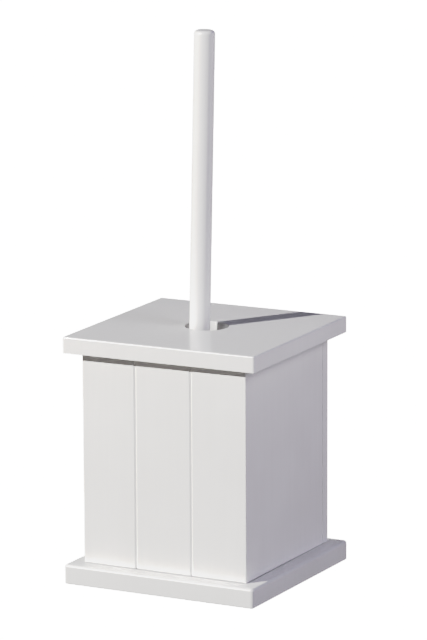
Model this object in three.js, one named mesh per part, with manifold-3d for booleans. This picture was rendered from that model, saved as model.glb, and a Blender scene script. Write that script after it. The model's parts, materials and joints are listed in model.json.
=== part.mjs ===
// A toilet brush in a square, white painted box: a wide base plate, four panels, and a loose lid with a
// hole that the brush's round handle stands through. Inside, the brush stands in a plastic drip cup.
// Millimetres, +Z up. The origin is on the floor, under the middle of the base plate. The front is -Y.

import * as THREE from "three";
import { mergeVertices } from "three/addons/utils/BufferGeometryUtils.js";
import Module from "manifold-3d";

const wasm = await Module();
wasm.setup();

// ---- Driving dimensions ----

const CLEARANCE = 0.3; // between a piece and the hole that it sits in

const PAD_RADIUS = 7;
const PAD_THICKNESS = 1.5;
const PAD_INSET = 14; // from the base plate's edges to a pad's middle

const BASE_WIDTH = 160;
const BASE_THICKNESS = 15.2;
const BASE_ROUNDING = 2.5; // of its upper edges

const BODY_WIDTH = 137;
const BODY_HEIGHT = 163.1;
const PANEL_THICKNESS = 9;
const GROOVE_PITCH = 46.8;
const GROOVE_SHIFT = -0.6; // the grooved board isn't cut quite symmetrically
const GROOVE_WIDTH = 2.6;
const GROOVE_DEPTH = 0.8;

const BLOCK_WIDTH = 12;
const BLOCK_HEIGHT = 146;

const LID_WIDTH = 159.4;
const LID_THICKNESS = 12.5;
const LID_ROUNDING = 1.2; // of its upper edges
const LID_TURN = THREE.MathUtils.degToRad(0.7); // the loose lid doesn't lie quite square on the box
const LID_HOLE_RADIUS = 16.5;
const LID_HOLE_BACK = 1.3; // the hole was drilled this far behind the lid's middle
const BATTEN_WIDTH = 8;
const BATTEN_PLAY = 2; // from a batten to the panel beside it

const SCREW_RADIUS = 1.75;
const SCREW_HEAD_RADIUS = 3.5;
const SCREW_HEAD_HEIGHT = 2;
const SCREW_LENGTH = 32;
const SCREW_SINK = 0.6; // how far the head lies inside the base plate

const CUP_CENTRE = [-4, -3.5]; // the cup stands loosely in the box, a little off its middle
const CUP_BOTTOM_RADIUS = 48;
const CUP_TOP_RADIUS = 52;
const CUP_HEIGHT = 100;
const CUP_WALL = 2;
const CUP_FLOOR = 2.5;
const CUP_RIM_RADIUS = 54.5;
const CUP_RIM_HEIGHT = 4;

const BRUSH_LIFT = 2; // from the cup's floor to the lowest bristles
const ROD_RADIUS = 7.9;
const ROD_ROUNDING = 2.8;
const ROD_AT_LID = [-3.9, -2.6]; // where the rod's axis passes the lid's top face
const ROD_LEAN = [0.0192, 0.01]; // sideways travel for each millimetre of height
const ROD_BOTTOM = 108; // the rest are distances along the brush's axis, from under the bristles
const ROD_TOP = 396;

const STUD_RADIUS = 4;
const STUD_BOTTOM = 88;
const STUD_TOP = 124;

const CORE_RADIUS = 13;
const CORE_BOTTOM = 16;
const CORE_SHOULDER = 84;
const NECK_RADIUS = 9.5;
const NECK_BOTTOM = 92;

const BRISTLE_RADIUS = 37;
const BRISTLE_ROWS = 7;
const BRISTLE_ROW_HEIGHT = 6.4;
const BRISTLE_ROW_GAP = 2.2;
const FIRST_ROW_BOTTOM = 20.5;
const CROWN_INNER_RADIUS = 12;
const CROWN_TOP_RADIUS = 30;
const CROWN_FOOT_RADIUS = 21;
const CROWN_HEIGHT = 14.5;

const ROUND_SEGMENTS = 48;
const SMALL_SEGMENTS = 24;
const BEVEL_SEGMENTS = 3;

// ---- Heights that follow from them ----

const BASE_BOTTOM = PAD_THICKNESS;
const BASE_TOP = BASE_BOTTOM + BASE_THICKNESS;
const BODY_TOP = BASE_TOP + BODY_HEIGHT;
const LID_TOP = BODY_TOP + LID_THICKNESS;
const CUP_BOTTOM = BASE_TOP + CLEARANCE;
const BRUSH_BOTTOM = CUP_BOTTOM + CUP_FLOOR + BRUSH_LIFT;

// ---- Materials ----

const paint = new THREE.MeshStandardMaterial({ color: 0xe4e3e1, roughness: 0.3 });
const cupPlastic = new THREE.MeshStandardMaterial({ color: 0xe8e8e6, roughness: 0.4 });
const corePlastic = new THREE.MeshStandardMaterial({ color: 0xf0f0ee, roughness: 0.35 });
const bristle = new THREE.MeshStandardMaterial({ color: 0xf2f2f0, roughness: 0.6 });
const zincSteel = new THREE.MeshStandardMaterial({ color: 0xb8babb, roughness: 0.35, metalness: 1 });
const blockWood = new THREE.MeshStandardMaterial({ color: 0xc9ab7c, roughness: 0.8 });
const felt = new THREE.MeshStandardMaterial({ color: 0xd8d6d0, roughness: 0.95 });

// ---- Solids ----

function toSolid(geometry) {
  const bare = geometry.clone();
  bare.deleteAttribute("normal");
  bare.deleteAttribute("uv");
  const merged = mergeVertices(bare, 1e-3);
  const vertProperties = new Float32Array(merged.attributes.position.array);
  const triVerts = new Uint32Array(merged.index.array);
  return new wasm.Manifold(new wasm.Mesh({ numProp: 3, vertProperties, triVerts }));
}

function toGeometry(solid) {
  const mesh = solid.getMesh();
  const geometry = new THREE.BufferGeometry();
  geometry.setAttribute("position", new THREE.BufferAttribute(mesh.vertProperties, 3));
  geometry.setIndex(new THREE.BufferAttribute(mesh.triVerts, 1));
  return geometry;
}

function cut(geometry, tools) {
  const solids = tools.map(toSolid);
  return toGeometry(solids.reduce((rest, tool) => rest.subtract(tool), toSolid(geometry)));
}

function block(size, low) {
  const geometry = new THREE.BoxGeometry(...size);
  return geometry.translate(low[0] + size[0] / 2, low[1] + size[1] / 2, low[2] + size[2] / 2);
}

// A solid of revolution about Z. The profile's points are [radius, height], from the bottom up.
function turned(profile, segments) {
  const points = profile.map(([radius, height]) => new THREE.Vector2(radius, height));
  return new THREE.LatheGeometry(points, segments).rotateX(Math.PI / 2);
}

function disc(radius, low, high, segments) {
  return turned([[0, low], [radius, low], [radius, high], [0, high]], segments);
}

function ring(innerRadius, outerRadius, low, high) {
  const profile = [[innerRadius, low], [outerRadius, low], [outerRadius, high], [innerRadius, high]];
  return turned([...profile, profile[0]], ROUND_SEGMENTS);
}

// Points of a quarter circle that rounds a profile's edge, from startAngle to a quarter turn on.
function quarter(centre, radius, startAngle, steps) {
  const points = [];
  for (let i = 0; i <= steps; i++) {
    const angle = startAngle + (i / steps) * (Math.PI / 2);
    points.push([centre[0] + radius * Math.cos(angle), centre[1] + radius * Math.sin(angle)]);
  }
  return points;
}

// A square board from z = 0 to thickness, with its upper edges rounded, less the tools.
function roundedBoard(width, thickness, rounding, tools) {
  const half = width / 2;
  const corner = rounding + 0.1;
  const outline = new THREE.Shape();
  outline.moveTo(-half + corner, -half);
  outline.lineTo(half - corner, -half);
  outline.absarc(half - corner, -half + corner, corner, -Math.PI / 2, 0, false);
  outline.lineTo(half, half - corner);
  outline.absarc(half - corner, half - corner, corner, 0, Math.PI / 2, false);
  outline.lineTo(-half + corner, half);
  outline.absarc(-half + corner, half - corner, corner, Math.PI / 2, Math.PI, false);
  outline.lineTo(-half, -half + corner);
  outline.absarc(-half + corner, -half + corner, corner, Math.PI, 1.5 * Math.PI, false);
  const board = new THREE.ExtrudeGeometry(outline, {
    depth: thickness - rounding,
    bevelThickness: rounding,
    bevelSize: rounding,
    bevelOffset: -rounding,
    bevelSegments: BEVEL_SEGMENTS,
    curveSegments: 3,
  });
  const lowerEdge = block([2 * width, 2 * width, 2 * rounding], [-width, -width, -2 * rounding]);
  return cut(board, [lowerEdge, ...tools]);
}

// A panel's plan, extruded upwards: one long face is outwards at -Y and carries the V-grooves.
function groovedPanel(width, thickness, height) {
  const half = width / 2;
  const halfGroove = GROOVE_WIDTH / 2;
  const plan = new THREE.Shape();
  plan.moveTo(-half, 0);
  for (const side of [-1, 1]) {
    const middle = GROOVE_SHIFT + (side * GROOVE_PITCH) / 2;
    plan.lineTo(middle - halfGroove, 0);
    plan.lineTo(middle, GROOVE_DEPTH);
    plan.lineTo(middle + halfGroove, 0);
  }
  plan.lineTo(half, 0);
  plan.lineTo(half, thickness);
  plan.lineTo(-half, thickness);
  plan.closePath();
  return new THREE.ExtrudeGeometry(plan, { depth: height, bevelEnabled: false });
}

// ---- The object: each body is one group of named meshes ----

const object = new THREE.Group();

function bodyGroup(name) {
  const group = new THREE.Group();
  group.name = name;
  object.add(group);
  return group;
}

function addMesh(group, name, geometry, material) {
  const mesh = new THREE.Mesh(geometry, material);
  mesh.name = name;
  group.add(mesh);
  return mesh;
}

const CORNERS = [
  { name: "front_left", x: -1, y: -1 },
  { name: "front_right", x: 1, y: -1 },
  { name: "back_right", x: 1, y: 1 },
  { name: "back_left", x: -1, y: 1 },
];
const INNER_HALF = BODY_WIDTH / 2 - PANEL_THICKNESS;
const BLOCK_AT = INNER_HALF - BLOCK_WIDTH / 2; // the blocks and the screws in them, from the middle

// The countersunk screw, pointing up, with its head's flat face at z = 0.
function screwProfile(grow) {
  return [
    [0, -grow],
    [SCREW_HEAD_RADIUS + grow, -grow],
    [SCREW_HEAD_RADIUS + grow, 0.4],
    [SCREW_RADIUS + grow, SCREW_HEAD_HEIGHT],
    [SCREW_RADIUS + grow, SCREW_LENGTH - 5],
    [0, SCREW_LENGTH + grow],
  ];
}

function addBasePlate(holder) {
  const tools = [];
  for (const { x, y } of CORNERS) {
    const hole = turned(screwProfile(CLEARANCE), SMALL_SEGMENTS);
    const mouth = disc(SCREW_HEAD_RADIUS + CLEARANCE, -2, 0.2, SMALL_SEGMENTS);
    for (const tool of [hole, mouth]) {
      tools.push(tool.translate(x * BLOCK_AT, y * BLOCK_AT, SCREW_SINK));
    }
  }
  const board = roundedBoard(BASE_WIDTH, BASE_THICKNESS, BASE_ROUNDING, tools);
  addMesh(holder, "base_plate", board, paint).position.z = BASE_BOTTOM;
}

function addPanels(holder) {
  const grooved = groovedPanel(BODY_WIDTH, PANEL_THICKNESS, BODY_HEIGHT);
  const front = addMesh(holder, "front_panel", grooved, paint);
  front.position.set(0, -BODY_WIDTH / 2, BASE_TOP);
  const back = addMesh(holder, "back_panel", grooved, paint);
  back.position.set(0, BODY_WIDTH / 2, BASE_TOP);
  back.rotation.z = Math.PI;
  for (const side of [-1, 1]) {
    const size = [PANEL_THICKNESS, 2 * INNER_HALF, BODY_HEIGHT];
    const low = [side * (INNER_HALF + PANEL_THICKNESS / 2) - PANEL_THICKNESS / 2, -INNER_HALF, BASE_TOP];
    addMesh(holder, side < 0 ? "left_panel" : "right_panel", block(size, low), paint);
  }
}

function addCornerBlocks(holder) {
  const pilot = turned(screwProfile(CLEARANCE), SMALL_SEGMENTS);
  pilot.translate(0, 0, SCREW_SINK - BASE_THICKNESS);
  const stick = block([BLOCK_WIDTH, BLOCK_WIDTH, BLOCK_HEIGHT], [-BLOCK_WIDTH / 2, -BLOCK_WIDTH / 2, 0]);
  const drilled = cut(stick, [pilot]);
  for (const { name, x, y } of CORNERS) {
    const mesh = addMesh(holder, `corner_block_${name}`, drilled, blockWood);
    mesh.position.set(x * BLOCK_AT, y * BLOCK_AT, BASE_TOP);
  }
}

function addScrews(holder) {
  const recess = [
    block([4, 0.9, 2.2], [-2, -0.45, -1]),
    block([0.9, 4, 2.2], [-0.45, -2, -1]),
  ];
  const screw = cut(turned(screwProfile(0), SMALL_SEGMENTS), recess);
  for (const { name, x, y } of CORNERS) {
    const mesh = addMesh(holder, `base_screw_${name}`, screw, zincSteel);
    mesh.position.set(x * BLOCK_AT, y * BLOCK_AT, BASE_BOTTOM + SCREW_SINK);
  }
}

function addFootPads(holder) {
  const at = BASE_WIDTH / 2 - PAD_INSET;
  const pad = disc(PAD_RADIUS, 0, PAD_THICKNESS, ROUND_SEGMENTS);
  for (const { name, x, y } of CORNERS) {
    const mesh = addMesh(holder, `foot_pad_${name}`, pad, felt);
    mesh.position.set(x * at, y * at, 0);
  }
}

// The cup's wall flares upwards to a rolled rim that hangs a little way down outside.
function addDripCup(cup) {
  const flare = CUP_TOP_RADIUS - CUP_BOTTOM_RADIUS;
  const rimLow = CUP_HEIGHT - CUP_RIM_HEIGHT;
  const outerAtRim = CUP_BOTTOM_RADIUS + (flare * rimLow) / CUP_HEIGHT;
  const innerTop = CUP_TOP_RADIUS - CUP_WALL;
  const bottomEdge = quarter([CUP_BOTTOM_RADIUS - 3, 3], 3, -Math.PI / 2, 3);
  const rimEdge = quarter([CUP_RIM_RADIUS - 1.5, CUP_HEIGHT - 1.5], 1.5, 0, 3);
  const insideEdge = quarter([CUP_BOTTOM_RADIUS - CUP_WALL - 1, CUP_FLOOR + 1], 1, -Math.PI / 2, 2);
  const profile = [
    [0, 0],
    ...bottomEdge,
    [outerAtRim, rimLow + 1.5],
    [CUP_RIM_RADIUS - 1, rimLow],
    [CUP_RIM_RADIUS, rimLow],
    ...rimEdge,
    [innerTop + 1, CUP_HEIGHT],
    [innerTop, CUP_HEIGHT - 1],
    ...insideEdge.reverse(),
    [0, CUP_FLOOR],
  ];
  const mesh = addMesh(cup, "drip_cup", turned(profile, ROUND_SEGMENTS), cupPlastic);
  mesh.position.set(CUP_CENTRE[0], CUP_CENTRE[1], CUP_BOTTOM);
}

// The brush's own axis is its group's Z. The group stands at the brush's foot and leans with the rod.
function placeOnRod(group) {
  const below = LID_TOP - BRUSH_BOTTOM;
  group.position.set(
    ROD_AT_LID[0] - ROD_LEAN[0] * below,
    ROD_AT_LID[1] - ROD_LEAN[1] * below,
    BRUSH_BOTTOM,
  );
  const along = new THREE.Vector3(ROD_LEAN[0], ROD_LEAN[1], 1).normalize();
  group.quaternion.setFromUnitVectors(new THREE.Vector3(0, 0, 1), along);
}

function addHandle(handle) {
  const socket = STUD_RADIUS + CLEARANCE;
  const profile = [
    [0, STUD_TOP + CLEARANCE],
    [socket, STUD_TOP + CLEARANCE],
    [socket, ROD_BOTTOM],
    [ROD_RADIUS, ROD_BOTTOM],
    ...quarter([ROD_RADIUS - ROD_ROUNDING, ROD_TOP - ROD_ROUNDING], ROD_ROUNDING, 0, 4),
    [0, ROD_TOP],
  ];
  addMesh(handle, "handle_rod", turned(profile, ROUND_SEGMENTS), paint);
  const stud = disc(STUD_RADIUS, STUD_BOTTOM, STUD_TOP, SMALL_SEGMENTS);
  addMesh(handle, "threaded_stud", stud, zincSteel);
}

function addBrushHead(head) {
  const socket = STUD_RADIUS + CLEARANCE;
  const neckTop = ROD_BOTTOM - CLEARANCE;
  const profile = [
    [0, CORE_BOTTOM],
    ...quarter([CORE_RADIUS - 4, CORE_BOTTOM + 4], 4, -Math.PI / 2, 3),
    [CORE_RADIUS, CORE_SHOULDER],
    [NECK_RADIUS, NECK_BOTTOM],
    [NECK_RADIUS, neckTop],
    [socket, neckTop],
    [socket, STUD_BOTTOM - CLEARANCE],
    [0, STUD_BOTTOM - CLEARANCE],
  ];
  addMesh(head, "brush_core", turned(profile, ROUND_SEGMENTS), corePlastic);
  for (let i = 0; i < BRISTLE_ROWS; i++) {
    const low = FIRST_ROW_BOTTOM + i * (BRISTLE_ROW_HEIGHT + BRISTLE_ROW_GAP);
    const row = ring(CORE_RADIUS + CLEARANCE, BRISTLE_RADIUS, low, low + BRISTLE_ROW_HEIGHT);
    addMesh(head, `bristle_row_${i + 1}`, row, bristle);
  }
  const crown = [
    [0, 0],
    [CROWN_FOOT_RADIUS, 0],
    [CROWN_TOP_RADIUS, CROWN_HEIGHT * 0.6],
    [CROWN_INNER_RADIUS, CROWN_HEIGHT],
    [0, CROWN_HEIGHT],
  ];
  addMesh(head, "bristle_crown", turned(crown, ROUND_SEGMENTS), bristle);
}

function addLid(lid) {
  const hole = disc(LID_HOLE_RADIUS, -1, LID_THICKNESS + 1, ROUND_SEGMENTS).translate(0, LID_HOLE_BACK, 0);
  const board = roundedBoard(LID_WIDTH, LID_THICKNESS, LID_ROUNDING, [hole]);
  addMesh(lid, "lid_board", board, paint).position.z = BODY_TOP;
  const outer = INNER_HALF - BATTEN_PLAY;
  const low = BODY_TOP - BATTEN_WIDTH;
  const sideHalf = outer - BATTEN_WIDTH - CLEARANCE;
  const ends = [["front", -outer], ["back", outer - BATTEN_WIDTH]];
  for (const [name, y] of ends) {
    const batten = block([2 * outer, BATTEN_WIDTH, BATTEN_WIDTH], [-outer, y, low]);
    addMesh(lid, `lid_batten_${name}`, batten, paint);
  }
  const sides = [["left", -outer], ["right", outer - BATTEN_WIDTH]];
  for (const [name, x] of sides) {
    const batten = block([BATTEN_WIDTH, 2 * sideHalf, BATTEN_WIDTH], [x, -sideHalf, low]);
    addMesh(lid, `lid_batten_${name}`, batten, paint);
  }
}

const holder = bodyGroup("holder");
addBasePlate(holder);
addPanels(holder);
addCornerBlocks(holder);
addScrews(holder);
addFootPads(holder);

addDripCup(bodyGroup("drip_cup_body"));

const handle = bodyGroup("brush_handle");
placeOnRod(handle);
addHandle(handle);

const head = bodyGroup("brush_head");
placeOnRod(head);
addBrushHead(head);

const lid = bodyGroup("lid");
lid.rotation.z = LID_TURN;
addLid(lid);

export default object;
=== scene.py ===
"""A white painted toilet brush holder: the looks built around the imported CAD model.

Lengths are in metres. +Z is up and the grooved front faces -Y.
"""

import json
import math

import bmesh
import bpy
import numpy as np
from mathutils import Matrix, Quaternion, Vector


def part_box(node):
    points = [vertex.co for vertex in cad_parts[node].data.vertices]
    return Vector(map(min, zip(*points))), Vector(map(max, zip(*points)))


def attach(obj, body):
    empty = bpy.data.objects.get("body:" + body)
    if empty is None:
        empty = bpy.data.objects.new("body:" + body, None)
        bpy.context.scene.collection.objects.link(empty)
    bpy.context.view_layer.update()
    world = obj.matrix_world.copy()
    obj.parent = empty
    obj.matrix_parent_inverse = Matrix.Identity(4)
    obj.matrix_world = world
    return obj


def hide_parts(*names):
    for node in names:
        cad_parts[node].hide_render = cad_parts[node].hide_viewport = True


MM = 0.001
TURN = 2 * math.pi
UP = Vector((0, 0, 1))

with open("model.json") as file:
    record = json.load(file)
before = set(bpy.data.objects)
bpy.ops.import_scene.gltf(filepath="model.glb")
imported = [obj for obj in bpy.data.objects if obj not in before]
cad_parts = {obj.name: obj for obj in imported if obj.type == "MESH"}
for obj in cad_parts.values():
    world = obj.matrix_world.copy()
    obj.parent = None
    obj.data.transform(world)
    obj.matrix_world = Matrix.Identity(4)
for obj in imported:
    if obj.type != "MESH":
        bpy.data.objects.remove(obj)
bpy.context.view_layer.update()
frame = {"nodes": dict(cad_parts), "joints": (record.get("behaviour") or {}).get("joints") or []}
scene = bpy.context.scene


# ---------------------------------------------------------------- camera, light and stage

# A scratch program fitted the camera's values to the photo's straight edges.
CAMERA_DISTANCE = 3.4118
CAMERA_AZIMUTH = math.radians(27.728)
CAMERA_ELEVATION = math.radians(12.003)
CAMERA_AIM = Vector((0, 0, 0.2015))
CAMERA_PAN = math.radians(-0.096)  # these small turns set where the object lies in the frame
CAMERA_TILT = math.radians(-0.073)
CAMERA_ROLL = math.radians(0.301)
CAMERA_LENS_MM = 255.06
CAMERA_SENSOR_MM = 36.0

KEY_AZIMUTH = math.radians(-33.5)  # left of the front
KEY_ELEVATION = math.radians(25.5)
KEY_DISTANCE = 2.8
KEY_AIM = Vector((0, 0, 0.19))
KEY_RADIUS = 0.03
KEY_POWER = 283.0
KEY_COLOUR = (1.0, 0.99, 0.968)  # from the same fit as TONES

# The light that the room sends to the object from each way. Only the object's underside sees the last.
ROOM = {
    (-1, 0, 0): (0.05, 0.05, 0.05),
    (0, 1, 0): (0.04, 0.04, 0.055),
    (0, -1, 0): (0.045, 0.045, 0.045),
    (0, 0, 1): (0.13, 0.13, 0.155),
    (0, 0, -1): (0.8, 0.8, 0.8),
}

# Large soft lights: azimuth and elevation in degrees, distance, size, power and colour. The first two
# brighten the shaded right side, and the third the back.
FILLS = [
    (75, 8, 1.6, 0.9, 2.85, (0.81, 0.86, 1.0)),
    (85, 30, 1.0, 0.6, 2.0, (0.95, 0.91, 1.0)),
    (200, 3, 1.8, 0.8, 11.0, (1.0, 1.0, 1.0)),
]

BACKDROP = 1.6
FLOOR_GLOW = 1.6  # as the camera sees it
FLOOR_BOUNCE = (0.2, 0.19, 0.185)  # as the object sees it
FLOOR_HALF = 30.0
UNDER_HALF = 0.081  # the middle of the floor, which lets light in from below for the underside
FLOOR_HEIGHT = -0.0002

# The tone curve: firmer shadows, softer pale tones and soft highlights, then white. The points up to 0.75
# aren't hand-made: a scratch program fitted them to the photo's average colours, and they are rounded. The
# last four were set one by one. The lights' values began in that fit too, and most were then changed.
TONES = [
    (0, 0),
    (0.1, 0.075),
    (0.22, 0.26),
    (0.38, 0.53),
    (0.55, 0.64),
    (0.75, 0.75),
    (0.88, 0.86),
    (1.2, 0.9),
    (1.5, 1.0),
    (2.0, 1.1),
]


def set_tones():
    scene.view_settings.view_transform = "Standard"
    scene.view_settings.use_curve_mapping = True
    mapping = scene.view_settings.curve_mapping
    mapping.use_clip = False
    mapping.extend = "EXTRAPOLATED"
    curve = mapping.curves[3]  # the one for all three colours together
    curve.points[0].location = TONES[0]
    curve.points[1].location = TONES[-1]
    for point in TONES[1:-1]:
        curve.points.new(*point)
    for point in curve.points:
        point.handle_type = "AUTO_CLAMPED"
    mapping.update()


def towards(azimuth, elevation):
    """The direction from the object to a camera or light: azimuth 0 is in front, at -Y."""
    flat = math.cos(elevation)
    return Vector((math.sin(azimuth) * flat, -math.cos(azimuth) * flat, math.sin(elevation)))


def link(thing):
    scene.collection.objects.link(thing)
    return thing


def make_camera():
    data = bpy.data.cameras.new("camera")
    data.lens = CAMERA_LENS_MM
    data.sensor_width = CAMERA_SENSOR_MM
    data.clip_start = 0.1
    data.clip_end = 100.0
    camera = link(bpy.data.objects.new("camera", data))
    back = towards(CAMERA_AZIMUTH, CAMERA_ELEVATION)
    camera.location = CAMERA_AIM + back * CAMERA_DISTANCE
    camera.rotation_mode = "QUATERNION"
    turn = Quaternion((0, 1, 0), CAMERA_PAN)
    tilt = Quaternion((1, 0, 0), CAMERA_TILT)
    roll = Quaternion((0, 0, -1), CAMERA_ROLL)
    camera.rotation_quaternion = (-back).to_track_quat("-Z", "Y") @ turn @ tilt @ roll
    scene.camera = camera


def make_key():
    lamp = bpy.data.lights.new("key", "POINT")
    lamp.energy = KEY_POWER
    lamp.shadow_soft_size = KEY_RADIUS
    lamp.color = KEY_COLOUR
    key = link(bpy.data.objects.new("key", lamp))
    key.location = KEY_AIM + towards(KEY_AZIMUTH, KEY_ELEVATION) * KEY_DISTANCE


def make_fills():
    for azimuth, elevation, distance, size, power, colour in FILLS:
        area = bpy.data.lights.new("fill", "AREA")
        area.shape = "DISK"
        area.size = size
        area.energy = power
        area.color = colour
        fill = link(bpy.data.objects.new("fill", area))
        way = towards(math.radians(azimuth), math.radians(elevation))
        fill.location = KEY_AIM + way * distance
        fill.rotation_mode = "QUATERNION"
        fill.rotation_quaternion = (-way).to_track_quat("-Z", "Y")
        fill.visible_camera = False
        fill.visible_glossy = False


def make_world():
    """A soft room lights the object, and the camera sees a white backdrop in its place."""
    world = bpy.data.worlds.new("room")
    world.use_nodes = True
    nodes = world.node_tree.nodes
    links = world.node_tree.links
    nodes.clear()

    def maths(kind, operation, first, second):
        node = nodes.new(kind)
        node.operation = operation
        for index, value in enumerate((first, second)):
            if isinstance(value, bpy.types.NodeSocket):
                links.new(value, node.inputs[index])
            else:
                node.inputs[index].default_value = value
        return node

    direction = nodes.new("ShaderNodeTexCoord").outputs["Generated"]
    total = (0.0, 0.0, 0.0)
    for way, colour in ROOM.items():
        facing = maths("ShaderNodeVectorMath", "DOT_PRODUCT", direction, way).outputs["Value"]
        share = maths("ShaderNodeMath", "MAXIMUM", facing, 0.0).outputs[0]
        squared = maths("ShaderNodeMath", "MULTIPLY", share, share).outputs[0]
        part = maths("ShaderNodeVectorMath", "SCALE", colour, (0, 0, 0))
        links.new(squared, part.inputs["Scale"])
        total = maths("ShaderNodeVectorMath", "ADD", part.outputs[0], total).outputs[0]
    room = nodes.new("ShaderNodeBackground")
    links.new(total, room.inputs["Color"])
    backdrop = nodes.new("ShaderNodeBackground")
    backdrop.inputs["Color"].default_value = (BACKDROP, BACKDROP, BACKDROP, 1)
    path = nodes.new("ShaderNodeLightPath")
    mix = nodes.new("ShaderNodeMixShader")
    out = nodes.new("ShaderNodeOutputWorld")
    links.new(path.outputs["Is Camera Ray"], mix.inputs[0])
    links.new(room.outputs[0], mix.inputs[1])
    links.new(backdrop.outputs[0], mix.inputs[2])
    links.new(mix.outputs[0], out.inputs["Surface"])
    scene.world = world


def floor_material():
    """White to the camera, clear when seen from below, and an even soft light to everything else."""
    material = bpy.data.materials.new("floor")
    material.use_nodes = True
    nodes = material.node_tree.nodes
    links = material.node_tree.links
    nodes.clear()
    glow = nodes.new("ShaderNodeEmission")
    glow.inputs["Strength"].default_value = FLOOR_GLOW
    clear = nodes.new("ShaderNodeBsdfTransparent")
    bounce = nodes.new("ShaderNodeEmission")
    bounce.inputs["Color"].default_value = (*FLOOR_BOUNCE, 1)
    side = nodes.new("ShaderNodeNewGeometry")
    path = nodes.new("ShaderNodeLightPath")
    seen = nodes.new("ShaderNodeMixShader")
    mix = nodes.new("ShaderNodeMixShader")
    out = nodes.new("ShaderNodeOutputMaterial")
    links.new(side.outputs["Backfacing"], seen.inputs[0])
    links.new(glow.outputs[0], seen.inputs[1])
    links.new(clear.outputs[0], seen.inputs[2])
    links.new(path.outputs["Is Camera Ray"], mix.inputs[0])
    links.new(bounce.outputs[0], mix.inputs[1])
    links.new(seen.outputs[0], mix.inputs[2])
    links.new(mix.outputs[0], out.inputs["Surface"])
    return material


def make_floor():
    corners = [(-1, -1), (1, -1), (1, 1), (-1, 1)]
    inner = [(UNDER_HALF * x, UNDER_HALF * y, FLOOR_HEIGHT) for x, y in corners]
    outer = [(FLOOR_HALF * x, FLOOR_HALF * y, FLOOR_HEIGHT) for x, y in corners]
    material = floor_material()
    sides = [(k, (k + 1) % 4, 4 + (k + 1) % 4, 4 + k) for k in range(4)]
    for name, points, faces in (("floor", outer + inner, sides), ("floor_under", inner, [(0, 1, 2, 3)])):
        mesh = bpy.data.meshes.new(name)
        mesh.from_pydata(points, [], faces)
        mesh.materials.append(material)
        link(bpy.data.objects.new(name, mesh))
    under = bpy.data.objects["floor_under"]  # so that light from below passes it
    under.visible_diffuse = False
    under.visible_glossy = False


# ---------------------------------------------------------------- materials


class Nodes:
    """Adds shader nodes to one material. What is given for a socket is set on it, or linked to it."""

    def __init__(self, name):
        self.material = bpy.data.materials.new(name)
        self.material.use_nodes = True
        self.tree = self.material.node_tree
        self.tree.nodes.clear()
        out = self.tree.nodes.new("ShaderNodeOutputMaterial")
        self.shader = self.tree.nodes.new("ShaderNodeBsdfPrincipled")
        self.tree.links.new(self.shader.outputs[0], out.inputs["Surface"])
        self.place = self.tree.nodes.new("ShaderNodeTexCoord").outputs["Object"]

    def set(self, node, sockets):
        for key, value in sockets.items():
            if isinstance(value, bpy.types.NodeSocket):
                self.tree.links.new(value, node.inputs[key])
            else:
                node.inputs[key].default_value = value

    def add(self, kind, sockets=None, **settings):
        node = self.tree.nodes.new("ShaderNode" + kind)
        for key, value in settings.items():
            setattr(node, key, value)
        self.set(node, sockets or {})
        return node

    def stretched(self, x, y, z):
        """The object's coordinates, scaled along each axis."""
        node = self.add("Mapping", {"Vector": self.place, "Scale": (x, y, z)})
        return node.outputs[0]

    def noise(self, scale, detail, rough=0.5, vector=None):
        sockets = {"Vector": vector or self.place, "Scale": scale, "Detail": detail, "Roughness": rough}
        return self.add("TexNoise", sockets).outputs["Fac"]

    def spread(self, value, low, high, from_low=0.3, from_high=0.7):
        """A noise value, spread over the range from low to high."""
        sockets = {"Value": value, "From Min": from_low, "From Max": from_high}
        sockets |= {"To Min": low, "To Max": high}
        return self.add("MapRange", sockets, clamp=True).outputs[0]

    def blend(self, share, first, second):
        """A colour between the first and second one."""
        node = self.add("Mix", data_type="RGBA", clamp_factor=True)
        self.set(node, {0: share})
        for index, colour in ((6, first), (7, second)):  # the node's sockets for two colours
            self.set(node, {index: (*colour, 1) if isinstance(colour, tuple) else colour})
        return node.outputs[2]

    def sum(self, first, second):
        return self.add("Math", {0: first, 1: second}, operation="ADD").outputs[0]

    def times(self, first, second):
        return self.add("Math", {0: first, 1: second}, operation="MULTIPLY").outputs[0]

    def bump(self, height, distance, strength, below=None):
        sockets = {"Height": height, "Distance": distance, "Strength": strength}
        if below is not None:
            sockets["Normal"] = below
        return self.add("Bump", sockets).outputs[0]

    def finish(self, sockets):
        self.set(self.shader, sockets)
        return self.material


PAINT_DIM = (0.89, 0.884, 0.872)
PAINT_PALE = (0.918, 0.914, 0.906)
SATIN = (0.285, 0.325)  # the lacquer's lowest and highest roughness: a narrow range keeps its sheen even
DULL = (0.38, 0.44)  # the same where the lacquer is duller
COAT_ROUGHNESS = 0.1


def paint_material(name, roughness_range, lift=1.0, coat=0.0):
    """Sprayed lacquer: nearly even white, with a little orange peel and a slow unevenness of the board.

    lift makes the white lighter or darker, and coat is how much of a glossier top coat lies over it.
    """
    n = Nodes(name)
    cloud = n.noise(14.0, 3.0)
    streaks = n.noise(1.0, 3.0, vector=n.stretched(240, 240, 9))
    tone = n.sum(n.times(cloud, 0.7), n.times(streaks, 0.3))
    dim = tuple(channel * lift for channel in PAINT_DIM)
    pale = tuple(channel * lift for channel in PAINT_PALE)
    colour = n.blend(n.spread(tone, 0.0, 1.0, 0.35, 0.65), dim, pale)
    peel = n.noise(850.0, 2.0)
    roughness = n.spread(n.noise(120.0, 3.0), *roughness_range)
    slow = n.bump(n.noise(22.0, 1.0), 0.0002, 0.2)
    fine = n.bump(peel, 0.00003, 0.3, slow)
    return n.finish({
        "Base Color": colour,
        "Roughness": roughness,
        "Normal": fine,
        "IOR": 1.5,
        "Coat Weight": coat,
        "Coat Roughness": COAT_ROUGHNESS,
    })


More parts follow.
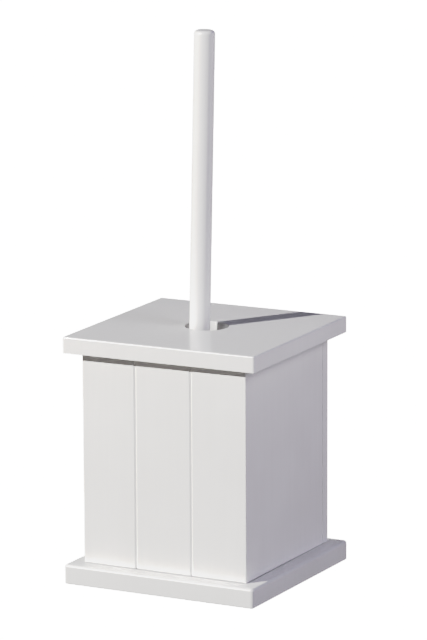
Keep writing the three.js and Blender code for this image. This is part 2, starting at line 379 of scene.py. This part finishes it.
def cup_material():
    """Moulded polypropylene: satin, with faint flow marks."""
    n = Nodes("cup_plastic")
    flow = n.noise(1.0, 3.0, vector=n.stretched(30, 30, 120))
    colour = n.blend(n.spread(flow, 0.0, 1.0), (0.76, 0.765, 0.76), (0.8, 0.8, 0.795))
    roughness = n.spread(n.noise(260.0, 2.0), 0.3, 0.42)
    fine = n.bump(n.noise(1600.0, 1.0), 0.00003, 0.3)
    return n.finish({
        "Base Color": colour,
        "Roughness": roughness,
        "Normal": fine,
        "Subsurface Weight": 0.1,
        "Subsurface Scale": 0.002,
    })


def core_material():
    """The brush head's core: moulded polypropylene, a little glossier than the cup."""
    n = Nodes("head_plastic")
    colour = n.blend(n.spread(n.noise(70.0, 2.0), 0.0, 1.0), (0.82, 0.82, 0.81), (0.86, 0.86, 0.855))
    roughness = n.spread(n.noise(300.0, 2.0), 0.28, 0.34)
    fine = n.bump(n.noise(1400.0, 1.0), 0.00003, 0.25)
    return n.finish({"Base Color": colour, "Roughness": roughness, "Normal": fine})


def bristle_material():
    """Stiff white filament: each one a little lighter or darker, slightly see-through at its edges."""
    n = Nodes("bristle_filament")
    colour = n.blend(n.spread(n.noise(420.0, 1.0), 0.0, 1.0), (0.78, 0.79, 0.79), (0.92, 0.92, 0.91))
    roughness = n.spread(n.noise(900.0, 1.0), 0.3, 0.5)
    fine = n.bump(n.noise(1.0, 1.0, vector=n.stretched(3000, 3000, 600)), 0.00002, 0.3)
    return n.finish({
        "Base Color": colour,
        "Roughness": roughness,
        "Normal": fine,
        "Subsurface Weight": 0.15,
        "Subsurface Scale": 0.001,
    })


def zinc_material():
    """Bright zinc plate over turned steel."""
    n = Nodes("zinc_plate")
    colour = n.blend(n.spread(n.noise(380.0, 3.0), 0.0, 1.0), (0.5, 0.51, 0.53), (0.66, 0.67, 0.68))
    roughness = n.spread(n.noise(700.0, 2.0), 0.28, 0.42)
    turned = n.bump(n.noise(1.0, 2.0, vector=n.stretched(400, 400, 6000)), 0.00002, 0.4)
    return n.finish({"Base Color": colour, "Roughness": roughness, "Normal": turned, "Metallic": 1.0})


def wood_material():
    """Bare sawn softwood, its grain running up the block."""
    n = Nodes("softwood")
    wander = n.stretched(90, 90, 5)
    waves = {"Vector": wander, "Scale": 1.2, "Distortion": 6.0, "Detail": 3.0, "Detail Scale": 1.4}
    rings = n.add("TexWave", waves, wave_type="BANDS", bands_direction="DIAGONAL").outputs["Fac"]
    grain = n.noise(1.0, 6.0, 0.6, n.stretched(700, 700, 16))
    tone = n.sum(n.times(rings, 0.6), n.times(grain, 0.4))
    colour = n.blend(n.spread(tone, 0.0, 1.0, 0.2, 0.8), (0.66, 0.47, 0.26), (0.44, 0.27, 0.12))
    sawn = n.bump(grain, 0.0003, 0.6)
    return n.finish({"Base Color": colour, "Roughness": n.spread(grain, 0.6, 0.85), "Normal": sawn})


def felt_material():
    """Pressed felt: matted fibres in two greys."""
    n = Nodes("pressed_felt")
    fibre = n.noise(1500.0, 5.0, 0.7)
    clump = n.noise(260.0, 4.0, 0.6)
    tone = n.sum(n.times(fibre, 0.6), n.times(clump, 0.4))
    colour = n.blend(n.spread(tone, 0.0, 1.0, 0.35, 0.65), (0.42, 0.4, 0.37), (0.66, 0.64, 0.6))
    fuzz = n.bump(tone, 0.0005, 0.8)
    roughness = n.spread(fibre, 0.88, 1.0)
    return n.finish({"Base Color": colour, "Roughness": roughness, "Normal": fuzz, "Sheen Weight": 0.3})


# ---------------------------------------------------------------- mesh tools

STRAIGHT = 1e-3  # a corner that turns less than this, in radians, isn't rounded
MITRE_LIMIT = 0.5  # at a sharp corner an inset runs no further than twice its width
SMOOTH_BELOW = math.radians(50)
FAR_INSIDE = -1.0  # the radius at which an open profile is closed while its corners are rounded


def skin(loops, ring_closed=False):
    """A closed mesh over loops that have as many points each.

    The first and last loop are capped, unless ring_closed joins them.
    """
    count = len(loops[0])
    points = [tuple(p) for loop in loops for p in loop]
    faces = []
    spans = len(loops) if ring_closed else len(loops) - 1
    for i in range(spans):
        here = i * count
        there = ((i + 1) % len(loops)) * count
        for k in range(count):
            after = (k + 1) % count
            faces.append((here + k, here + after, there + after, there + k))
    if not ring_closed:
        faces.append(tuple(reversed(range(count))))
        last = (len(loops) - 1) * count
        faces.append(tuple(range(last, last + count)))
    mesh = bpy.data.meshes.new("skin")
    mesh.from_pydata(points, [], faces)
    face_out(mesh)
    return mesh


def face_out(mesh):
    """Turns all of a closed mesh's faces outwards."""
    made = bmesh.new()
    made.from_mesh(mesh)
    bmesh.ops.recalc_face_normals(made, faces=made.faces)
    if made.calc_volume(signed=True) < 0:
        bmesh.ops.reverse_faces(made, faces=made.faces)
    made.to_mesh(mesh)
    made.free()


def rounded(corners, radii, steps):
    """A closed outline of 2D points, with each corner turned into an arc of its radius."""
    outline = []
    count = len(corners)
    for i, (corner, radius) in enumerate(zip(corners, radii)):
        corner = Vector(corner)
        back = (Vector(corners[i - 1]) - corner).normalized()
        on = (Vector(corners[(i + 1) % count]) - corner).normalized()
        turn = math.pi - back.angle(on)
        if radius <= 0 or turn < STRAIGHT:
            outline.append(corner)
            continue
        middle = corner + (back + on).normalized() * (radius / math.cos(turn / 2))
        start = corner + back * (radius * math.tan(turn / 2)) - middle
        way = 1 if back.x * on.y - back.y * on.x < 0 else -1
        for k in range(steps + 1):
            angle = way * turn * k / steps
            outline.append(middle + Matrix.Rotation(angle, 2) @ start)
    return outline


def outward(outline):
    """The outward vectors at an anticlockwise outline's points. Insets along them are even all round."""
    count = len(outline)
    ways = []
    for i in range(count):
        before = (outline[i] - outline[i - 1]).normalized()
        after = (outline[(i + 1) % count] - outline[i]).normalized()
        normal = Vector((before.y + after.y, -before.x - after.x)).normalized()
        spread = max(MITRE_LIMIT, normal.dot(Vector((after.y, -after.x))))
        ways.append(normal / spread)
    return ways


def edge_steps(radius, steps):
    """(inset, depth) pairs round a quarter circle, from the side face over to the end face."""
    if radius <= 0:
        return [(0.0, 0.0)]
    quarter = [math.pi / 2 * k / steps for k in range(steps + 1)]
    return [(radius * (1 - math.cos(a)), radius * (1 - math.sin(a))) for a in quarter]


def prism_loops(outline, low, high, round_low, round_high, steps=5):
    """The loops of an upright prism over an outline, with its lower and upper edges rounded."""
    ways = outward(outline)
    loops = []
    for inset, depth in reversed(edge_steps(round_low, steps)):
        loops.append([(p.x - w.x * inset, p.y - w.y * inset, low + depth) for p, w in zip(outline, ways)])
    for inset, depth in edge_steps(round_high, steps):
        loops.append([(p.x - w.x * inset, p.y - w.y * inset, high - depth) for p, w in zip(outline, ways)])
    return loops


def circle(radius, height, segments):
    """A level loop of points round the Z axis."""
    angles = [TURN * k / segments for k in range(segments)]
    return [(radius * math.cos(a), radius * math.sin(a), height) for a in angles]


def turned(profile, segments):
    """A solid of revolution about Z, over (radius, height) points. Its ends are flat discs."""
    return skin([circle(radius, height, segments) for radius, height in profile])


def turned_profile(corners, radii, steps=6):
    """An open profile with rounded corners. It starts and ends where its first and last corners say."""
    closing = [(FAR_INSIDE, corners[-1][1]), (FAR_INSIDE, corners[0][1])]
    outline = rounded(list(corners) + closing, list(radii) + [0, 0], steps)
    return [(p.x, p.y) for p in outline[:-2]]


def cut_mesh(mesh, tools):
    """The mesh with the tool meshes cut out of it."""
    work = link(bpy.data.objects.new("work", mesh))
    cutters = []
    for tool in tools:
        cutter = link(bpy.data.objects.new("cutter", tool))
        cutters.append(cutter)
        modifier = work.modifiers.new("cut", "BOOLEAN")
        modifier.operation = "DIFFERENCE"
        modifier.solver = "EXACT"
        modifier.object = cutter
    bpy.context.view_layer.update()
    graph = bpy.context.evaluated_depsgraph_get()
    result = bpy.data.meshes.new_from_object(work.evaluated_get(graph))
    for thing in [work, *cutters]:
        bpy.data.objects.remove(thing)
    return result


def smooth(piece):
    """Smooth shading over rounded edges, while the wide flat faces stay flat."""
    piece.data.shade_smooth()
    piece.data.set_sharp_from_angle(angle=SMOOTH_BELOW)
    normals = piece.modifiers.new("normals", "WEIGHTED_NORMAL")
    normals.keep_sharp = True
    normals.weight = 80


def place(node, body, mesh, material, matrix=None):
    """Makes the mesh the finished piece that stands for a CAD node and rides on its body."""
    if matrix is not None:
        mesh.transform(matrix)
    mesh.name = node + "_shape"
    mesh.materials.clear()
    mesh.materials.append(material)
    piece = link(bpy.data.objects.new(node + "_shape", mesh))
    smooth(piece)
    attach(piece, body)
    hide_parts(node)


# ---------------------------------------------------------------- painted boards

ARC_STEPS = 6
SIDE_STEPS = 12
HOLE_STEPS = 4
LID_TURN = math.radians(0.7)  # the loose lid doesn't lie quite square on the box
LID_ROUNDING = 1.2 * MM
BASE_ROUNDING = 2.5 * MM
BASE_FOOT_ROUNDING = 1.0 * MM
CORNER_MORE = 0.05 * MM  # a board's upright corners are a touch rounder than its upper edges
SHARP = 0.25 * MM  # an edge that was only broken with sandpaper
HOLE_ROUNDING = 0.5 * MM
HOLE_RADIUS = 16.5 * MM
HOLE_BACK = 1.3 * MM  # the hole was drilled this far behind the lid's middle
GROOVE_PITCH = 46.8 * MM
GROOVE_SHIFT = -0.6 * MM
GROOVE_HALF = 1.3 * MM
GROOVE_DEPTH = 0.8 * MM
GROOVE_EDGE_ROUNDING = 0.6 * MM
GROOVE_BOTTOM_ROUNDING = 0.3 * MM
CREASE = 0.45 * MM  # how far the paint rounds a panel's upper edges, and a side panel's outer back edge
FOOT_CREASE = 0.9 * MM  # and its lower edges, which meet the base
FLUSH = 0.1 * MM  # where a side panel's outer edge meets the front panel
BATTEN_ROUNDING = 0.8 * MM


def square_outline(half, corner):
    """A rounded square, anticlockwise from the middle of its right side, with divided sides."""
    straight = half - corner
    outline = []
    for quarter_turn in range(4):
        turn = Matrix.Rotation(quarter_turn * math.pi / 2, 2)
        side = [Vector((half, straight * k / SIDE_STEPS)) for k in range(SIDE_STEPS)]
        arc = []
        for k in range(ARC_STEPS + 1):
            angle = math.pi / 2 * k / ARC_STEPS
            arc.append(Vector((straight + corner * math.cos(angle), straight + corner * math.sin(angle))))
        top = [Vector((straight * (1 - k / SIDE_STEPS), half)) for k in range(1, SIDE_STEPS)]
        outline += [turn @ p for p in side + arc + top]
    return outline


def rectangle(low, high, radii):
    """A rounded rectangle, anticlockwise from its front left corner."""
    corners = [(low.x, low.y), (high.x, low.y), (high.x, high.y), (low.x, high.y)]
    return rounded(corners, radii, steps=4)


def box_in_lid(node):
    """A lid node's lowest and highest corners in the lid's own frame, which is turned about Z."""
    untwist = Matrix.Rotation(-LID_TURN, 3, "Z")
    points = np.array([untwist @ v.co for v in frame["nodes"][node].data.vertices])
    return Vector(points.min(axis=0)), Vector(points.max(axis=0))


def make_lid(paint):
    """The board with its round hole, and the four battens that are glued under it."""
    twist = Matrix.Rotation(LID_TURN, 4, "Z")
    low, high = box_in_lid("lid_board")
    outline = square_outline(high.x, LID_ROUNDING + CORNER_MORE)
    outside = prism_loops(outline, low.z, high.z, SHARP, LID_ROUNDING, steps=ARC_STEPS)
    edge = edge_steps(HOLE_ROUNDING, HOLE_STEPS)
    wall = [(HOLE_RADIUS + inset, high.z - depth) for inset, depth in reversed(edge)]
    wall += [(HOLE_RADIUS + inset, low.z + depth) for inset, depth in edge]
    inside = []
    for radius, height in wall:
        inside.append([(x, y + HOLE_BACK, z) for x, y, z in circle(radius, height, len(outline))])
    place("lid_board", "lid", skin(outside + inside, ring_closed=True), paint, twist)
    for side in ("front", "back", "left", "right"):
        node = "lid_batten_" + side
        low, high = box_in_lid(node)
        plan = rectangle(low, high, [BATTEN_ROUNDING] * 4)
        loops = prism_loops(plan, low.z, high.z, BATTEN_ROUNDING, 0.0, steps=4)
        place(node, "lid", skin(loops), paint, twist)


def make_base(paint):
    """The base plate, with the four screws' holes cut out of it."""
    low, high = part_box("base_plate")
    outline = square_outline(high.x, BASE_ROUNDING + CORNER_MORE)
    loops = prism_loops(outline, low.z, high.z, BASE_FOOT_ROUNDING, BASE_ROUNDING, steps=ARC_STEPS)
    holes = [screw_hole(middle_of("base_screw_" + corner), SCREW_PLAY) for corner in CORNERS]
    place("base_plate", "holder", cut_mesh(skin(loops), holes), paint)


def grooved_outline(low, high):
    """A panel's plan with two V-grooves in its front, anticlockwise from its front left corner."""
    corners = [(low.x, low.y)]
    radii = [SHARP]
    for side in (-1, 1):
        middle = GROOVE_SHIFT + side * GROOVE_PITCH / 2
        corners.append((middle - GROOVE_HALF, low.y))
        corners.append((middle, low.y + GROOVE_DEPTH))
        corners.append((middle + GROOVE_HALF, low.y))
        radii += [GROOVE_EDGE_ROUNDING, GROOVE_BOTTOM_ROUNDING, GROOVE_EDGE_ROUNDING]
    corners += [(high.x, low.y), (high.x, high.y), (low.x, high.y)]
    radii += [SHARP, 0.0, 0.0]
    return rounded(corners, radii, steps=5)


def make_panels(paint):
    """The box's four walls. The back is the front, turned half round."""
    low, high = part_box("front_panel")
    grooved = prism_loops(grooved_outline(low, high), low.z, high.z, FOOT_CREASE, CREASE, steps=4)
    place("front_panel", "holder", skin(grooved), paint)
    half_turn = Matrix.Rotation(math.pi, 4, "Z")
    place("back_panel", "holder", skin(grooved), paint, half_turn)
    for node, radii in (
        ("left_panel", [FLUSH, 0.0, 0.0, CREASE]),
        ("right_panel", [0.0, FLUSH, CREASE, 0.0]),
    ):
        low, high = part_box(node)
        loops = prism_loops(rectangle(low, high, radii), low.z, high.z, FOOT_CREASE, CREASE, steps=4)
        place(node, "holder", skin(loops), paint)


# ---------------------------------------------------------------- what is inside and under the box

CORNERS = ("front_left", "front_right", "back_right", "back_left")
SCREW_TURNS = (5.0, 5.5, 5.0, 4.5)  # how far each screw happened to turn before it was tight, in radians
SCREW_HEAD_RADIUS = 3.5 * MM
SCREW_RADIUS = 1.75 * MM
SCREW_HEAD_HEIGHT = 2.0 * MM
SCREW_HEAD_RIM = 0.4 * MM
SCREW_HEAD_BEVEL = 0.15 * MM
SCREW_NECK = 1.0 * MM
SCREW_PITCH = 1.6 * MM
SCREW_THREAD_DEPTH = 0.45 * MM
SCREW_POINT = 5.0 * MM
SCREW_TIP_RADIUS = 0.15 * MM
SCREW_PLAY = 0.3 * MM  # round a screw in the base plate
SCREW_BITE = 0.2 * MM  # how far its thread goes into a block
SCREW_HOLE_BELOW = 4 * MM  # how far the tool that cuts a screw's hole reaches below its head's face
SCREW_HOLE_ABOVE = 30 * MM
CROSS = Vector((2.2 * MM, 0.45 * MM))  # half the length and width of one slot of the head's cross
CROSS_DEPTH = 1.3 * MM
CROSS_ROUNDING = 0.2 * MM
CROSS_FLOOR_ROUNDING = 0.3 * MM
THREAD_SEGMENTS = 24
THREAD_STEPS = 6  # for each turn of a thread
BLOCK_ROUNDING = 0.5 * MM
BLOCK_FOOT_ROUNDING = 0.3 * MM
PAD_ROUNDING = 0.4 * MM
PAD_BACK_ROUNDING = 0.15 * MM
HUB = 0.01 * MM  # the tiny disc round the axis that a turned piece starts from
PAD_HUB = 0.001 * MM


def middle_of(node):
    """The middle of a CAD node's lower side."""
    low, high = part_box(node)
    return Vector(((low.x + high.x) / 2, (low.y + high.y) / 2, low.z))


def threaded(radius, depth, pitch, low, high):
    """The loops of a shaft with a helical V-thread that fades out at both ends."""
    rows = int((high - low) / pitch * THREAD_STEPS) + 1
    loops = []
    for i in range(rows + 1):
        height = low + (high - low) * i / rows
        fade = min(1.0, (height - low) / pitch, (high - height) / pitch)
        loop = []
        for k in range(THREAD_SEGMENTS):
            phase = (height / pitch - k / THREAD_SEGMENTS) % 1.0
            crest = 1 - abs(2 * phase - 1)
            r = radius - depth * (1 - crest * max(0.0, fade))
            angle = TURN * k / THREAD_SEGMENTS
            loop.append((r * math.cos(angle), r * math.sin(angle), height))
        loops.append(loop)
    return loops


def screw_mesh(length):
    """A countersunk cross-head wood screw, pointing up, with its head's face at z = 0."""
    outside = [
        (SCREW_HEAD_RADIUS - SCREW_HEAD_BEVEL, 0.0),
        (SCREW_HEAD_RADIUS, SCREW_HEAD_BEVEL),
        (SCREW_HEAD_RADIUS, SCREW_HEAD_RIM),
        (SCREW_RADIUS, SCREW_HEAD_HEIGHT),
    ]
    head = [circle(radius, height, THREAD_SEGMENTS) for radius, height in outside]
    start = SCREW_HEAD_HEIGHT + SCREW_NECK
    shank = threaded(SCREW_RADIUS, SCREW_THREAD_DEPTH, SCREW_PITCH, start, length - SCREW_POINT)
    tip = circle(SCREW_TIP_RADIUS, length, THREAD_SEGMENTS)
    plan = rectangle(-CROSS, CROSS, [CROSS_ROUNDING] * 4)
    slot = skin(prism_loops(plan, -MM, CROSS_DEPTH, 0, CROSS_FLOOR_ROUNDING))
    other_slot = slot.copy()
    other_slot.transform(Matrix.Rotation(math.pi / 2, 4, "Z"))
    return cut_mesh(skin([*head, *shank, tip]), [slot, other_slot])


def screw_hole(middle, gap):
    """The tool that cuts a screw's countersunk hole. A gap below zero makes the hole tighter."""
    mouth = SCREW_HEAD_RADIUS + gap
    shaft = SCREW_RADIUS + gap
    profile = [(mouth, -SCREW_HOLE_BELOW), (mouth, SCREW_HEAD_RIM)]
    profile += [(shaft, SCREW_HEAD_HEIGHT), (shaft, SCREW_HOLE_ABOVE)]
    mesh = turned(profile, segments=48)
    mesh.transform(Matrix.Translation(middle))
    return mesh


def make_screws(zinc):
    """The four screws that go up through the base plate into the corner blocks."""
    for corner, turn in zip(CORNERS, SCREW_TURNS):
        node = "base_screw_" + corner
        low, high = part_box(node)
        matrix = Matrix.Translation(middle_of(node)) @ Matrix.Rotation(turn, 4, "Z")
        place(node, "holder", screw_mesh(high.z - low.z), zinc, matrix)


def make_blocks(wood):
    """The four sawn blocks in the box's corners, each with its screw's hole."""
    for corner in CORNERS:
        node = "corner_block_" + corner
        low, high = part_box(node)
        plan = rectangle(low, high, [BLOCK_ROUNDING] * 4)
        loops = prism_loops(plan, low.z, high.z, BLOCK_FOOT_ROUNDING, BLOCK_ROUNDING, steps=3)
        hole = screw_hole(middle_of("base_screw_" + corner), -SCREW_BITE)
        place(node, "holder", cut_mesh(skin(loops), [hole]), wood)


def make_pads(felt):
    """The round felt pads, with rings across their lower face to keep its triangles even."""
    for corner in CORNERS:
        node = "foot_pad_" + corner
        low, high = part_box(node)
        radius = (high.x - low.x) / 2
        corners = [(PAD_HUB, 0), (radius, 0), (radius, high.z), (PAD_HUB, high.z)]
        profile = turned_profile(corners, [0, PAD_ROUNDING, PAD_BACK_ROUNDING, 0], steps=4)
        rings = [(radius * share, 0) for share in (0.2, 0.4, 0.6, 0.8)]
        mesh = turned(profile[:1] + rings + profile[1:], segments=64)
        place(node, "holder", mesh, felt, Matrix.Translation(middle_of(node)))


# ---------------------------------------------------------------- cup and brush

CUP_BOTTOM_RADIUS = 48 * MM
CUP_TOP_RADIUS = 52 * MM
CUP_WALL = 2 * MM
CUP_FLOOR = 2.5 * MM
CUP_FOOT_WIDTH = 7 * MM
CUP_FOOT_SLOPE = 1 * MM
CUP_FOOT_HEIGHT = 1.2 * MM
CUP_RIM_HEIGHT = 4 * MM
CUP_RIM_WALL = 1.2 * MM
CUP_RIM_LEDGE = 1.4 * MM


def make_cup(plastic):
    """A tapered cup that stands on a low ring, with a lip that hangs down outside its mouth."""
    low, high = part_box("drip_cup")
    rim = (high.x - low.x) / 2
    tall = high.z - low.z
    lip = tall - CUP_RIM_HEIGHT
    corners_and_radii = [
        ((HUB, CUP_FOOT_HEIGHT), 0),
        ((CUP_BOTTOM_RADIUS - CUP_FOOT_WIDTH, CUP_FOOT_HEIGHT), 0.4 * MM),
        ((CUP_BOTTOM_RADIUS - CUP_FOOT_WIDTH - CUP_FOOT_SLOPE, 0), 0.4 * MM),
        ((CUP_BOTTOM_RADIUS, 0), 3 * MM),
        ((CUP_TOP_RADIUS, lip + CUP_RIM_LEDGE), 0.8 * MM),
        ((rim - CUP_RIM_WALL, lip + CUP_RIM_LEDGE), 0.3 * MM),
        ((rim - CUP_RIM_WALL, lip), 0.3 * MM),
        ((rim, lip), 0.4 * MM),
        ((rim, tall), 1.8 * MM),
        ((CUP_TOP_RADIUS - CUP_WALL, tall), 1.0 * MM),
        ((CUP_BOTTOM_RADIUS - CUP_WALL, CUP_FLOOR), 4 * MM),
        ((HUB, CUP_FLOOR), 0),
    ]
    mesh = turned(turned_profile(*zip(*corners_and_radii)), segments=128)
    matrix = Matrix.Translation(middle_of("drip_cup"))
    place("drip_cup", "drip_cup_body", mesh, plastic, matrix)


head_joint = next(j for j in frame["joints"] if j["name"] == "head_screw")
BRUSH_FOOT = Vector(head_joint["pos_m"])
BRUSH_AXIS = Vector(head_joint["axis"]).normalized()
BRUSH_LEAN = UP.rotation_difference(BRUSH_AXIS)
ON_BRUSH = Matrix.Translation(BRUSH_FOOT) @ BRUSH_LEAN.to_matrix().to_4x4()


def along_brush(node):
    """A CAD node's lowest and highest point along the brush's axis, and its largest radius from it."""
    points = [v.co - BRUSH_FOOT for v in frame["nodes"][node].data.vertices]
    heights = [p.dot(BRUSH_AXIS) for p in points]
    radius = max((p - BRUSH_AXIS * h).length for p, h in zip(points, heights))
    return min(heights), max(heights), radius


STUD_SOCKET = 4.3 * MM
STUD_ROOM = 0.3 * MM  # past the stud's ends, in its two holes
STUD_PITCH = 1.25 * MM
STUD_THREAD_DEPTH = 0.7 * MM
ROD_ROUNDING = 2.8 * MM
ROD_FOOT_ROUNDING = 0.6 * MM
ROD_SOCKET_ROUNDING = 0.3 * MM
CORE_RADIUS = 13 * MM
CORE_SHOULDER = 84 * MM
NECK_RADIUS = 9.5 * MM
NECK_BOTTOM = 92 * MM


def make_handle(paint, zinc):
    """The round rod, with a socket in its lower end, and the threaded stud in that socket."""
    low, high, radius = along_brush("handle_rod")
    stud_low, stud_high, stud_radius = along_brush("threaded_stud")
    socket_top = stud_high + STUD_ROOM
    corners = [(HUB, socket_top), (STUD_SOCKET, socket_top), (STUD_SOCKET, low)]
    corners += [(radius, low), (radius, high), (HUB, high)]
    radii = [0, 0, ROD_SOCKET_ROUNDING, ROD_FOOT_ROUNDING, ROD_ROUNDING, 0]
    rod = turned(turned_profile(corners, radii, steps=8), segments=96)
    place("handle_rod", "brush_handle", rod, paint, ON_BRUSH)
    thread = threaded(stud_radius, STUD_THREAD_DEPTH, STUD_PITCH, stud_low, stud_high)
    place("threaded_stud", "brush_handle", skin(thread), zinc, ON_BRUSH)


def make_core(plastic):
    """The brush head's core, with a narrower neck that the stud screws into."""
    low, high, _ = along_brush("brush_core")
    stud_low, _, _ = along_brush("threaded_stud")
    socket_bottom = stud_low - STUD_ROOM
    corners_and_radii = [
        ((HUB, low), 0),
        ((CORE_RADIUS, low), 4 * MM),
        ((CORE_RADIUS, CORE_SHOULDER), 5 * MM),
        ((NECK_RADIUS, NECK_BOTTOM), 5 * MM),
        ((NECK_RADIUS, high), 0.8 * MM),
        ((STUD_SOCKET, high), 0.4 * MM),
        ((STUD_SOCKET, socket_bottom), 0),
        ((HUB, socket_bottom), 0),
    ]
    mesh = turned(turned_profile(*zip(*corners_and_radii)), segments=72)
    place("brush_core", "brush_head", mesh, plastic, ON_BRUSH)


TUFTS_IN_ROW = 18
ROW_SPLAY = (5.6 * MM, 2.9 * MM)
TUFT_SINK = 0.6 * MM  # how far inside the core a row's tufts start
TUFT_SHORT = 0.6 * MM  # how far inside the CAD row they end
TUFT_HOLE = 1.6 * MM
FILAMENTS = 26
FILAMENT_RADIUS = 0.26 * MM
FILAMENT_TAPER = 0.25
FILAMENT_STEPS = 4
FILAMENT_BOW = 0.4 * MM
FILAMENT_SHORTER = 0.9 * MM


def sideways(way):
    """A direction at right angles to the way, and level unless the way is nearly upright."""
    return way.cross(UP if abs(way.z) < 0.9 else Vector((1, 0, 0))).normalized()


def filament(root, tip, bow, chance):
    """Rings of four points along one filament, which is bowed aside between its root and its tip."""
    way = (tip - root).normalized()
    side = sideways(way)
    over = side.cross(way)
    spin = chance.uniform(0, math.pi / 2)
    rings = []
    for i in range(FILAMENT_STEPS + 1):
        share = i / FILAMENT_STEPS
        middle = root.lerp(tip, share) + bow * math.sin(math.pi * share)
        radius = FILAMENT_RADIUS * (1 - FILAMENT_TAPER * share)
        turn = [spin + TURN * k / 4 for k in range(4)]
        rings.append([middle + (side * math.cos(a) + over * math.sin(a)) * radius for a in turn])
    return rings


def add_tuft(points, faces, root, tip, splay, chance):
    """Adds a bundle of filaments from one hole, which spreads to its tip by the splay, across and along."""
    way = (tip - root).normalized()
    across = sideways(way)
    along = across.cross(way)
    spread_across, spread_along = splay
    for _ in range(FILAMENTS):
        angle = chance.uniform(0, TURN)
        reach = math.sqrt(chance.uniform(0, 1))
        a = reach * math.cos(angle)
        b = reach * math.sin(angle)
        start = root + (across * a + along * b) * TUFT_HOLE
        end = tip + across * (a * spread_across) + along * (b * spread_along)
        end += way * chance.uniform(-FILAMENT_SHORTER, 0)
        bow = across * chance.uniform(-FILAMENT_BOW, FILAMENT_BOW)
        bow += along * chance.uniform(-FILAMENT_BOW, FILAMENT_BOW)
        rings = filament(start, end, bow, chance)
        first = len(points)
        points += [p for ring in rings for p in ring]
        for i in range(FILAMENT_STEPS):
            for k in range(4):
                here = first + 4 * i + k
                after = first + 4 * i + (k + 1) % 4
                faces.append((here, after, after + 4, here + 4))
        last = first + 4 * FILAMENT_STEPS
        faces.append((first + 3, first + 2, first + 1, first))
        faces.append((last, last + 1, last + 2, last + 3))


def tuft_mesh(rows, seed):
    """Rows of tufts round the brush's axis.

    A row is how many tufts it has, how much of their spacing it is turned by, the radius and height of
    their roots and of their tips, and their splay.
    """
    chance = np.random.default_rng(seed)
    points = []
    faces = []
    for count, turn, root_radius, root_height, tip_radius, tip_height, splay in rows:
        for k in range(count):
            angle = TURN * (k + turn) / count
            out = Vector((math.cos(angle), math.sin(angle), 0))
            root = out * root_radius + UP * root_height
            tip = out * tip_radius + UP * tip_height
            add_tuft(points, faces, root, tip, splay, chance)
    mesh = bpy.data.meshes.new("tufts")
    mesh.from_pydata([tuple(p) for p in points], [], faces)
    face_out(mesh)
    return mesh


CROWN = [
    (14, 0.0, CORE_RADIUS - 1.5 * MM, 17.6 * MM, 28 * MM, 8.8 * MM, (5 * MM, 2.6 * MM)),
    (10, 0.5, 7.5 * MM, 16.4 * MM, 18 * MM, 2.2 * MM, (4 * MM, 2.6 * MM)),
    (5, 0.0, 3 * MM, 16.4 * MM, 7 * MM, 1.2 * MM, (3.4 * MM, 3 * MM)),
]
CROWN_SEED = 99


def make_bristles(filament_white):
    """The rows round the core, every other one turned by half a tuft, and the crown under it."""
    nodes = sorted(n for n in frame["nodes"] if n.startswith("bristle_row_"))
    for i, node in enumerate(nodes):
        low, high, radius = along_brush(node)
        middle = (low + high) / 2
        turn = 0.5 * (i % 2)
        row = (TUFTS_IN_ROW, turn, CORE_RADIUS - TUFT_SINK, middle, radius - TUFT_SHORT, middle, ROW_SPLAY)
        place(node, "brush_head", tuft_mesh([row], i), filament_white, ON_BRUSH)
    crown = tuft_mesh(CROWN, CROWN_SEED)
    place("bristle_crown", "brush_head", crown, filament_white, ON_BRUSH)


# ---------------------------------------------------------------- the scene


def main():
    set_tones()
    make_camera()
    make_key()
    make_fills()
    make_world()
    make_floor()
    paint = paint_material("white_lacquer", SATIN)
    base_paint = paint_material("white_lacquer_dull_painted_shade", DULL, lift=0.95)  # a little duller, and its white darkened as painted shade on the base
    lid_paint = paint_material("white_lacquer_lid_painted_light", SATIN, lift=1.03, coat=0.45)  # glossier, and its white made lighter as painted light on the lid
    zinc = zinc_material()
    make_lid(lid_paint)
    make_base(base_paint)
    make_panels(paint)
    make_screws(zinc)
    make_blocks(wood_material())
    make_pads(felt_material())
    make_cup(cup_material())
    make_handle(paint, zinc)
    make_core(core_material())
    make_bristles(bristle_material())


main()
